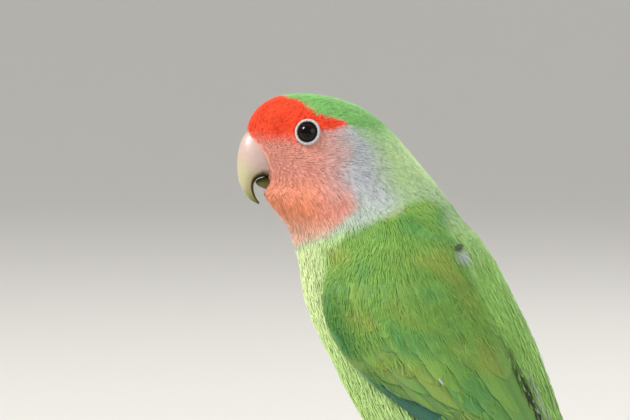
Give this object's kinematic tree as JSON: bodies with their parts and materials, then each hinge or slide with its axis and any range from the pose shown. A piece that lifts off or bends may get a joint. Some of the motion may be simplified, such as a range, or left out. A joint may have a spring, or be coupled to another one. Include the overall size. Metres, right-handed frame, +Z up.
{
  "type": "peach-faced lovebird",
  "caption": "Small short-tailed parrot standing still, green with a peach face and red brow, head turned to its left, tail tip on the floor.",
  "frame": {"origin": "on the floor, under the middle of the bird's bounding box", "axes": "+Z up, the body faces -X, the bird's left side is -Y; the head is turned 30 degrees to its left"},
  "size_m": [0.1158, 0.047, 0.134],
  "materials": {
    "peach_plumage": "soft short feathers",
    "green_plumage": "soft feathers",
    "wing_feathers": "smooth vaned feathers",
    "tail_feathers": "smooth vaned feathers",
    "bill_horn": "satin horn",
    "eye": "wet gloss",
    "foot_skin": "scaly matt skin",
    "claw_horn": "satin horn"
  },
  "bodies": {
    "root": {"bill_lower": "bill_horn", "bill_upper": "bill_horn", "claw_left_1": "claw_horn", "claw_left_2": "claw_horn", "claw_left_3": "claw_horn", "claw_left_4": "claw_horn", "claw_right_1": "claw_horn", "claw_right_2": "claw_horn", "claw_right_3": "claw_horn", "claw_right_4": "claw_horn", "eye_left": "eye", "eye_right": "eye", "foot_left": "foot_skin", "foot_right": "foot_skin", "head": "peach_plumage", "neck": "peach_plumage", "tail": "tail_feathers", "thigh_left": "green_plumage", "thigh_right": "green_plumage", "torso": "green_plumage", "wing_left": "wing_feathers", "wing_right": "wing_feathers"}
  },
  "joints": []
}
